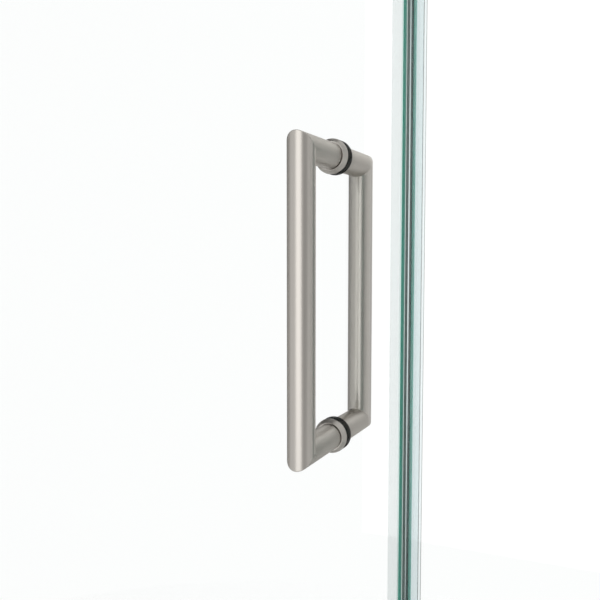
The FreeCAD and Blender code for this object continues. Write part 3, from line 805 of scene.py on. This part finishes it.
def turned_on_posts(outline, places, steps):
    """A closed profile turned about the axes of both posts, which run along Y.

    The profile's points are pairs of place along Y and distance from the axis. A point of the surface is
    (x + distance * cos a, place, z + distance * sin a).
    """
    turn = np.linspace(0, 2 * math.pi, steps, endpoint=False)
    place = np.broadcast_to(outline[:, :1], (len(outline), steps))
    side = places.x + outline[:, 1:] * np.cos(turn)
    rise = outline[:, 1:] * np.sin(turn)
    return joined([closed_grid(np.stack([side, place, z + rise], axis=2)) for z in places.post_heights])


# Objects


def new_object(name, shape):
    points, faces, smooth = shape
    mesh = bpy.data.meshes.new(name)
    mesh.from_pydata(points.tolist(), [], [face for block in faces for face in block.tolist()])
    mesh.polygons.foreach_set("use_smooth", smooth)
    mesh.update()
    made = bpy.data.objects.new(name, mesh)
    bpy.context.scene.collection.objects.link(made)
    return made


def cut_with(piece, shape):
    """Takes a closed shape out of a piece."""
    cutter = new_object("cutter", shape)
    modifier = piece.modifiers.new("holes", "BOOLEAN")
    modifier.object = cutter
    modifier.solver = "EXACT"
    evaluated = piece.evaluated_get(bpy.context.evaluated_depsgraph_get())
    cut = bpy.data.meshes.new_from_object(evaluated)
    piece.modifiers.clear()
    piece.data = cut
    bpy.data.objects.remove(cutter)


def add_piece(name, shape, body, node, material, holes=None):
    """Adds a piece, less any holes, with its material, its body and the node that it stands for."""
    piece = new_object(name, shape)
    if holes:
        cut_with(piece, holes)
    piece.data.set_sharp_from_angle(angle=SHARP_ANGLE)
    piece.data.materials.clear()
    piece.data.materials.append(material)
    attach(piece, body)
    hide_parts(node)
    return piece


def soften(piece, material, test):
    """Gives one more material to the faces whose middles pass a test of their place along X and Y."""
    piece.data.materials.append(material)
    polygons = piece.data.polygons
    centres = np.empty(3 * len(polygons))
    indices = np.empty(len(polygons), int)
    polygons.foreach_get("center", centres)
    polygons.foreach_get("material_index", indices)
    indices[test(centres[0::3], centres[1::3])] = len(piece.data.materials) - 1
    polygons.foreach_set("material_index", indices)


def dress(nodes, material):
    """Gives CAD nodes a material."""
    for name in nodes:
        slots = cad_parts[name].data.materials
        slots.clear()
        slots.append(material)


def hinge_nodes(*pieces):
    return [f"{hinge}_hinge_{piece}" for hinge in HINGES for piece in pieces]


# Profiles of the seals, channels and springs


def channel_corners(back, floor, lips, faces, rounds):
    """Corners of a U around a glass edge with their radii, from the back outside round to the shower side.

    The lips are the ends of the leg outside and of the leg on the shower side. The faces are how far the
    inner and the outer face of a leg lie from the middle of the glass. The rounds are the radii of the
    corners around the U and inside it.
    """
    outer_lip, inner_lip = lips
    inside, outside = faces
    outer, inner = rounds
    return [
        (back, -outside, outer),
        (outer_lip, -outside, outer),
        (outer_lip, -inside, outer),
        (floor, -inside, inner),
        (floor, inside, inner),
        (inner_lip, inside, outer),
        (inner_lip, outside, outer),
        (back, outside, outer),
    ]


def leg_faces(seal):
    """How far the inner and the outer face of a seal's legs lie from the middle of the glass."""
    inside = GlassPlaces().half + seal.fit
    return inside, inside + seal.leg_thickness


def bulb_arc(centre_x, radius, web_back, steps):
    """The part of a circle that stands clear of the web, from the shower side round to the outside."""
    reach = math.acos((web_back - centre_x) / radius)
    turn = np.linspace(reach, -reach, steps)
    return np.column_stack([centre_x + radius * np.cos(turn), radius * np.sin(turn)])


def bowed_leaf(crown, thickness, bow, middle, half, steps):
    """Outline of a bowed leaf spring, as pairs of height and place along X.

    Both faces are arcs of the radius (half * half + bow * bow) / (2 * bow). At a distance d from the middle,
    a face lies radius - sqrt(radius * radius - d * d) beyond its crown.
    """
    distance = np.linspace(-half, half, steps)
    radius = (half * half + bow * bow) / (2 * bow)
    face = crown + radius - np.sqrt(radius * radius - distance * distance)
    near = np.column_stack([middle + distance, face])
    far = np.column_stack([middle + distance, face + thickness])
    return np.concatenate([near, far[::-1]])


# Operators


class SHOWERDOOR_OT_glass(bpy.types.Operator):
    """Gives the two panels clear glass with green ground edges"""

    bl_idname = "shower_door.glass"
    bl_label = "Glass panels"

    def execute(self, context):
        glass = context.scene.door_glass_settings
        outside, shower = -1.0, 1.0
        # Only the door's edge gets the painted glow
        no_painted_glow = (0.0, 0.0, 0.0)
        door = (outside, glass.door_band, glass.painted_edge_glow)
        fixed = (shower, glass.fixed_band, no_painted_glow)
        dress(["door_glass"], clear_glass("door_clear_glass", glass, *door))
        dress(["fixed_glass"], clear_glass("fixed_clear_glass", glass, *fixed))
        return {"FINISHED"}


class SHOWERDOOR_OT_handles(bpy.types.Operator):
    """Builds the two mitred tubes of the pull handle"""

    bl_idname = "shower_door.handles"
    bl_label = "Pull handles"

    def execute(self, context):
        handle = context.scene.door_handle_settings
        places = HandlePlaces()
        low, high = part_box("outer_handle_grub_screws")
        radius = (high.y - low.y) / 2 + handle.thread_play
        hole_y = (high.y + low.y) / 2
        hole_in = places.outer_end - hole_y
        beside_hole = [hole_in - 2 * radius, hole_in + 2 * radius]
        circles = [circle((hole_y, height), radius, steps=40) for height in places.post_heights]
        face = places.x - places.radius
        through = (face - handle.tube_wall, face + 2 * handle.tube_wall)
        grub_holes = joined([extruded([outline], "X", *through) for outline in circles])
        looks = (handle.nickel, handle.roughness, tube_grain, handle.post_roughness)
        nickel = brushed_metal("door_brushed_tube", *looks)
        sides = (
            ("outer", places.outer_end, places.outer_bar, beside_hole, grub_holes),
            ("inner", places.inner_end, places.inner_bar, [], None),
        )
        for name, post_end, bar, stops, holes in sides:
            tube = mitred_tube(handle, places, post_end, bar, stops)
            add_piece(f"{name}_pull", tube, DOOR, f"{name}_handle", nickel, holes)
        return {"FINISHED"}


class SHOWERDOOR_OT_handle_fixings(bpy.types.Operator):
    """Builds the turned collars and the gaskets, and finishes what is inside the handle"""

    bl_idname = "shower_door.handle_fixings"
    bl_label = "Handle fixings"

    def execute(self, context):
        handle = context.scene.door_handle_settings
        metal = context.scene.door_metal_settings
        places = HandlePlaces()
        low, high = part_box("outer_handle_collars")
        face = high.y - handle.collar_thickness
        rim = (high.x - low.x) / 2
        seat = low.y + handle.screw_seat_depth
        ease, soft = handle.collar_ease, handle.collar_round
        corners = [
            (high.y, handle.screw_hole_radius, ease),
            (high.y, rim, soft),
            (face + handle.bevel_depth, rim, soft),
            (face, rim - handle.bevel_width, soft),
            (face, handle.spigot_radius, ease),
            (low.y, handle.spigot_radius, ease),
            (low.y, handle.screw_seat_radius, ease),
            (seat, handle.screw_seat_radius, ease),
            (seat, handle.screw_hole_radius, ease),
        ]
        shape = turned_on_posts(rounded_outline(corners, steps=9), places, handle.steps_around)
        turned = brushed_metal("door_turned_collar", handle.nickel, handle.roughness, turned_grain)
        add_piece("post_collars", shape, DOOR, "outer_handle_collars", turned)
        for side in ("outer", "inner"):
            node = f"{side}_handle_gaskets"
            low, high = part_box(node)
            radii = (handle.gasket_hole_radius, (high.x - low.x) / 2)
            ring = [(low.y, radii[0]), (low.y, radii[1]), (high.y, radii[1]), (high.y, radii[0])]
            outline = rounded_outline([(*corner, handle.gasket_round) for corner in ring])
            shape = turned_on_posts(outline, places, handle.steps_around)
            add_piece(f"{side}_gasket_rings", shape, DOOR, node, black_rubber(metal))
        dress(["handle_screws", "outer_handle_grub_screws"], stainless(metal))
        dress(["outer_handle_inserts", "inner_handle_plugs"], stainless(metal))
        dress(["handle_hole_sleeves"], nylon(metal))
        return {"FINISHED"}


class SHOWERDOOR_OT_edge_seals(bpy.types.Operator):
    """Builds the door's bulb seal, the channel that it closes on and the fin seals at the hinge edge"""

    bl_idname = "shower_door.edge_seals"
    bl_label = "Upright seals"

    def execute(self, context):
        seal = context.scene.door_seal_settings
        places = GlassPlaces()
        looks = {
            "door_clear_vinyl": (seal.leg_tint, seal.leg_falloff),
            "door_bulb_vinyl": (seal.bulb_tint, seal.bulb_falloff, seal.bulb_reach),
            "channel_vinyl": (seal.channel_tint, seal.leg_falloff),
            "channel_lip_vinyl": (seal.channel_tint, seal.lip_falloff),
            "channel_web_vinyl": (seal.channel_tint, seal.web_falloff),
        }
        vinyl, bulb_vinyl, channel_vinyl, lip_vinyl, web_vinyl = (
            clear_vinyl(name, seal, upright_grain, *look) for name, look in looks.items()
        )
        rounds = (seal.corner, seal.inner_corner)
        faces = leg_faces(seal)

        low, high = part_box("door_strike_seal")
        edge = places.door_high.x + seal.fit
        back = edge + seal.strike_web
        lips = (places.door_high.x - seal.strike_outer_leg, low.x)
        legs = rounded_outline(channel_corners(back, edge, lips, faces, rounds))
        centre = back - seal.bulb_root + seal.bulb_radius
        outline = np.concatenate([legs, bulb_arc(centre, seal.bulb_radius, back, steps=72)])
        bore_radius = seal.bulb_radius - seal.bulb_wall
        bore = circle((centre + seal.bore_offset, 0), bore_radius, steps=64)
        shape = extruded([outline, bore], "Z", low.z, high.z)
        strike = add_piece("strike_seal", shape, DOOR, "door_strike_seal", vinyl)
        soften(strike, bulb_vinyl, lambda x, y: x > back - seal.fit * np.sign(y))

        low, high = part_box("fixed_edge_channel")
        floor = places.fixed_low.x - seal.fit
        lips = (high.x, high.x)
        corners = channel_corners(floor - seal.channel_web, floor, lips, faces, rounds)
        shape = extruded([rounded_outline(corners)], "Z", low.z, high.z)
        channel = add_piece("edge_channel", shape, FIXED, "fixed_edge_channel", channel_vinyl)
        lip = high.x - seal.corner
        soften(channel, web_vinyl, lambda x, y: x < floor)
        soften(channel, lip_vinyl, lambda x, y: x > lip)

        low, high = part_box("hinge_edge_seals")
        edge = places.door_low.x - seal.fit
        root = edge - seal.fin_web
        half = seal.fin_thickness / 2
        fin = [
            (root, half, seal.inner_corner),
            (low.x, seal.fin_lean + half, seal.corner),
            (low.x, seal.fin_lean - half, seal.corner),
            (root, -half, seal.inner_corner),
        ]
        corners = channel_corners(root, edge, (high.x, high.x), faces, rounds) + fin
        outline = rounded_outline(corners)
        stops = [low.z]
        for hinge in reversed(HINGES):
            bracket_low, bracket_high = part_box(f"{hinge}_hinge_wall_bracket")
            stops.extend([bracket_low.z - seal.end_gap, bracket_high.z + seal.end_gap])
        stops.append(high.z)
        lengths = [extruded([outline], "Z", start, end) for start, end in zip(stops[0::2], stops[1::2])]
        add_piece("fin_seals", joined(lengths), DOOR, "hinge_edge_seals", vinyl)
        return {"FINISHED"}


class SHOWERDOOR_OT_sweep(bpy.types.Operator):
    """Builds the sweep under the door with its two wipers and its drip lip"""

    bl_idname = "shower_door.sweep"
    bl_label = "Bottom sweep"

    def execute(self, context):
        seal = context.scene.door_seal_settings
        low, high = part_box("door_bottom_sweep")
        inside, outside = leg_faces(seal)
        floor = GlassPlaces().door_low.z - seal.fit
        under = floor - seal.sweep_web
        lip_end = under - seal.lip_drop
        root = seal.wiper_spacing / 2
        tip = root + seal.wiper_lean
        half = seal.wiper_thickness / 2
        outer, inner = seal.corner, seal.inner_corner
        corners = [
            (-outside, high.z, outer),
            (-outside, under, outer),
            (-root - half, under, inner),
            (-tip - half, low.z, outer),
            (-tip + half, low.z, outer),
            (-root + half, under, inner),
            (root - half, under, inner),
            (tip - half, low.z, outer),
            (tip + half, low.z, outer),
            (root + half, under, inner),
            (outside, under, inner),
            (high.y, lip_end, outer),
            (high.y, lip_end + seal.lip_thickness, outer),
            (outside, under + seal.lip_thickness, inner),
            (outside, high.z, outer),
            (inside, high.z, outer),
            (inside, floor, inner),
            (-inside, floor, inner),
            (-inside, high.z, outer),
        ]
        shape = extruded([rounded_outline(corners)], "X", low.x, high.x)
        look = (seal.leg_tint, seal.leg_falloff)
        vinyl = clear_vinyl("door_sweep_vinyl", seal, level_grain, *look)
        add_piece("bottom_sweep", shape, DOOR, "door_bottom_sweep", vinyl)
        return {"FINISHED"}


class SHOWERDOOR_OT_channels(bpy.types.Operator):
    """Builds the channels and glazing strips that hold the fixed panel"""

    bl_idname = "shower_door.channels"
    bl_label = "Fixed panel channels"

    def execute(self, context):
        metal = context.scene.door_metal_settings
        looks = (metal.channel_nickel, metal.nickel_roughness)
        upright = brushed_metal("door_upright_channel", *looks, upright_grain)
        level = brushed_metal("door_level_channel", *looks, level_grain)
        looks = (metal.grey_rubber, metal.strip_roughness)
        rubber = moulded("door_grey_rubber", *looks, pits=2200.0, depth=20 * MICRON)
        self.channel(metal, "wall", "Z", upright, rubber)
        self.channel(metal, "bottom", "X", level, rubber)
        dress(["setting_blocks"], rubber)
        return {"FINISHED"}

    def channel(self, metal, name, axis, nickel, rubber):
        """A U that runs along an axis, and a strip on each side of the glass that stands in it.

        The corners are pairs of the places into the U and across it. Along X, these columns change places.
        """
        low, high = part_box(f"{name}_channel")
        strip_low, strip_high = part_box(f"{name}_glazing_strips")
        if axis == "Z":
            columns = [0, 1]
            back, mouth, root, head = high.x, low.x, strip_high.x, strip_low.x
            span, strip_span = (low.z, high.z), (strip_low.z, strip_high.z)
        else:
            columns = [1, 0]
            back, mouth, root, head = low.z, high.z, strip_low.z, strip_high.z
            span, strip_span = (low.x, high.x), (strip_low.x, strip_high.x)
        out = math.copysign(1.0, mouth - back)
        half = high.y
        inside = half - metal.channel_wall
        floor = back + out * metal.channel_wall
        rounds = (metal.channel_round, metal.channel_round / 2)
        corners = channel_corners(back, floor, (mouth, mouth), (inside, half), rounds)
        shape = extruded([rounded_outline(corners)[:, columns]], axis, *span)
        add_piece(f"{name}_profile", shape, FIXED, f"{name}_channel", nickel)

        fit, soft = metal.strip_fit, metal.strip_round
        near = GlassPlaces().half + fit
        far = inside - fit
        lip = mouth + out * fit
        strips = []
        for side in (-1, 1):
            corners = [
                (root, side * near, fit),
                (head, side * near, soft),
                (head, side * half, soft),
                (lip, side * half, soft),
                (lip, side * far, fit),
                (root, side * far, fit),
            ]
            strips.append(extruded([rounded_outline(corners)[:, columns]], axis, *strip_span))
        add_piece(f"{name}_strips", joined(strips), FIXED, f"{name}_glazing_strips", rubber)


class SHOWERDOOR_OT_hinges(bpy.types.Operator):
    """Finishes the two hinges and builds their centring springs, bowed as at the middle of the swing"""

    bl_idname = "shower_door.hinges"
    bl_label = "Hinges"

    def execute(self, context):
        metal = context.scene.door_metal_settings
        plate = brushed_metal("door_hinge_nickel", metal.hinge_nickel, metal.nickel_roughness, upright_grain)
        dress(hinge_nodes("wall_bracket", "outer_plate", "inner_plate"), plate)
        dress(hinge_nodes("pin", "pin_set_screw", "clamp_screws"), stainless(metal))
        dress(hinge_nodes("bushes", "thrust_washers"), nylon(metal))
        dress(hinge_nodes("gaskets"), black_rubber(metal))
        steel = screw_metal("door_spring_steel", metal.spring_steel, metal.spring_roughness)
        for hinge in HINGES:
            self.springs(metal, hinge, steel)
        return {"FINISHED"}

    def springs(self, metal, hinge, steel):
        """Two leaves, bowed as they rest on flats of the pin at the middle of the swing; beside it the real
        leaves flatten.
        """
        node = f"{hinge}_hinge_centring_springs"
        low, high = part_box(node)
        reach = high.x - low.x
        half = metal.leaf_length / 2
        leaf = (low.x, metal.leaf_thickness, reach - metal.leaf_thickness)
        outlines = [bowed_leaf(*leaf, middle, half, steps=33) for middle in (low.z + half, high.z - half)]
        shape = joined([extruded([outline], "Y", low.y, high.y) for outline in outlines])
        leaves = add_piece(f"{hinge}_centring_leaves", shape, DOOR, node, steel)
        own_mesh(leaves)


def level_way(turn):
    """The level direction that lies this far round from straight in front."""
    return (math.sin(turn), -math.cos(turn), 0.0)


class SHOWERDOOR_OT_stage(bpy.types.Operator):
    """Adds the floor, the lights, the world and the camera"""

    bl_idname = "shower_door.stage"
    bl_label = "Studio"

    def execute(self, context):
        studio = context.scene.door_studio_settings
        self.floor(studio)
        self.world(studio)
        self.lamps(studio)
        self.camera(studio)
        context.scene.view_settings.view_transform = "Standard"
        context.scene.cycles.transparent_max_bounces = CLEAR_CROSSINGS
        return {"FINISHED"}

    def floor(self, studio):
        """A round floor that is lit near the door and turns white towards its rim."""
        rim = circle((0, 0), studio.floor_radius, steps=128)
        points = np.column_stack([rim, np.zeros(len(rim))])
        floor = new_object("floor", (points, [np.arange(len(rim))[None]], np.zeros(1, bool)))
        shading = new_material("studio_floor")
        x, y, _ = shading.parts(shading.place())
        distance = (x * x + y * y) ** 0.5
        fade = shading.smooth(distance, studio.fade_start, studio.fade_end)
        lit = shading.surface({"Base Color": rgba(studio.floor), "Roughness": studio.floor_roughness})
        white = shading.node("ShaderNodeEmission", sockets={"Strength": 1.0})
        floor.data.materials.append(shading.finish(shading.mix(fade * seen(shading), lit, white)))

    def world(self, studio):
        """White where it is seen, a studio with darker sides where it is mirrored, plain light elsewhere."""
        world = bpy.data.worlds.new("studio")
        bpy.context.scene.world = world
        shading = Shading(world)
        direction = shading.node("ShaderNodeTexCoord", output="Generated")
        areas = (
            (-studio.mirror_dark, level_way(studio.dark_turn), NARROW),
            (-studio.mirror_side, level_way(studio.side_turn), WIDE),
            (-studio.mirror_back, level_way(studio.back_turn), NARROW),
            (-studio.mirror_up, studio.ceiling, CEILING),
            (studio.mirror_light, studio.back_light, BACK_LIGHT),
        )
        mirrored = studio.mirror_front
        for change, middle, fade in areas:
            cosine = shading.vector_math("DOT_PRODUCT", direction, middle, "Value")
            mirrored = mirrored + change * shading.smooth(cosine, *fade)
        mirrored = shading.math("MAXIMUM", mirrored, studio.mirror_least)
        direct = seen(shading)
        glossy = shading.ray("Is Glossy Ray") * (1.0 - direct) * shading.never("Diffuse")
        level = direct + glossy * mirrored + (1.0 - direct - glossy) * studio.world_light
        light = {"Color": rgba(WHITE), "Strength": level}
        shading.finish(shading.node("ShaderNodeBackground", sockets=light), "World")

    def lamps(self, studio):
        """A tall strip light straight in front and a large soft light above."""
        places = HandlePlaces()
        strip = self.lamp("strip_light", studio.strip_power, studio.strip_width, studio.strip_height)
        side = places.x + studio.strip_side
        strip.location = (side, -studio.strip_distance, places.middle + studio.strip_rise)
        strip.rotation_euler = (math.radians(90), 0, 0)
        top = self.lamp("top_light", studio.top_power, studio.top_width, studio.top_depth)
        top.location = studio.top_place
        top.rotation_euler = (studio.top_tilt, 0, 0)
        top.visible_glossy = False

    def lamp(self, name, watts, width, height):
        """A rectangular lamp that lights the object but isn't itself seen, not through the glass either."""
        light = bpy.data.lights.new(name, "AREA")
        light.shape = "RECTANGLE"
        light.size = width
        light.size_y = height
        light.energy = watts
        shading = Shading(light)
        strength = 1.0 - seen_through(shading)
        shading.finish(shading.node("ShaderNodeEmission", sockets={"Strength": strength}), "Light")
        lamp = bpy.data.objects.new(name, light)
        lamp.visible_camera = False
        bpy.context.scene.collection.objects.link(lamp)
        return lamp

    def camera(self, studio):
        """Stands outside, to the side of the fixed panel and a little above the middle of the handle."""
        places = HandlePlaces()
        data = bpy.data.cameras.new("photo_camera")
        data.lens = studio.lens
        data.clip_start = CAMERA_CLIP
        camera = bpy.data.objects.new("photo_camera", data)
        turn = studio.camera_turn
        away = Vector(level_way(turn))
        sideways = Vector((math.cos(turn), math.sin(turn), 0))
        bar = Vector((places.x, places.outer_bar, places.middle + studio.camera_rise))
        camera.location = bar + studio.camera_distance * away + studio.camera_side * sideways
        camera.rotation_euler = (math.radians(90) - studio.camera_pitch, 0, turn)
        bpy.context.scene.collection.objects.link(camera)
        bpy.context.scene.camera = camera


OPERATORS = (
    SHOWERDOOR_OT_glass,
    SHOWERDOOR_OT_handles,
    SHOWERDOOR_OT_handle_fixings,
    SHOWERDOOR_OT_edge_seals,
    SHOWERDOOR_OT_sweep,
    SHOWERDOOR_OT_channels,
    SHOWERDOOR_OT_hinges,
    SHOWERDOOR_OT_stage,
)


class SHOWERDOOR_PT_panel(bpy.types.Panel):
    """Lists the steps and the values that they use"""

    bl_idname = "SHOWERDOOR_PT_panel"
    bl_label = "Shower door"
    bl_space_type = "VIEW_3D"
    bl_region_type = "UI"
    bl_category = "Shower door"

    def draw(self, context):
        for operator in OPERATORS:
            self.layout.operator(operator.bl_idname)
        for name, group in SETTINGS.items():
            box = self.layout.box()
            values = getattr(context.scene, name)
            for field in group.__annotations__:
                box.prop(values, field)


CLASSES = (*SETTINGS.values(), *OPERATORS, SHOWERDOOR_PT_panel)


def register():
    for item in CLASSES:
        bpy.utils.register_class(item)
    for name, group in SETTINGS.items():
        setattr(bpy.types.Scene, name, bpy.props.PointerProperty(type=group))


def unregister():
    for name in SETTINGS:
        delattr(bpy.types.Scene, name)
    for item in reversed(CLASSES):
        bpy.utils.unregister_class(item)


def main():
    register()
    bpy.ops.shower_door.glass()
    bpy.ops.shower_door.handles()
    bpy.ops.shower_door.handle_fixings()
    bpy.ops.shower_door.edge_seals()
    bpy.ops.shower_door.sweep()
    bpy.ops.shower_door.channels()
    bpy.ops.shower_door.hinges()
    bpy.ops.shower_door.stage()


if __name__ == "__main__":
    main()
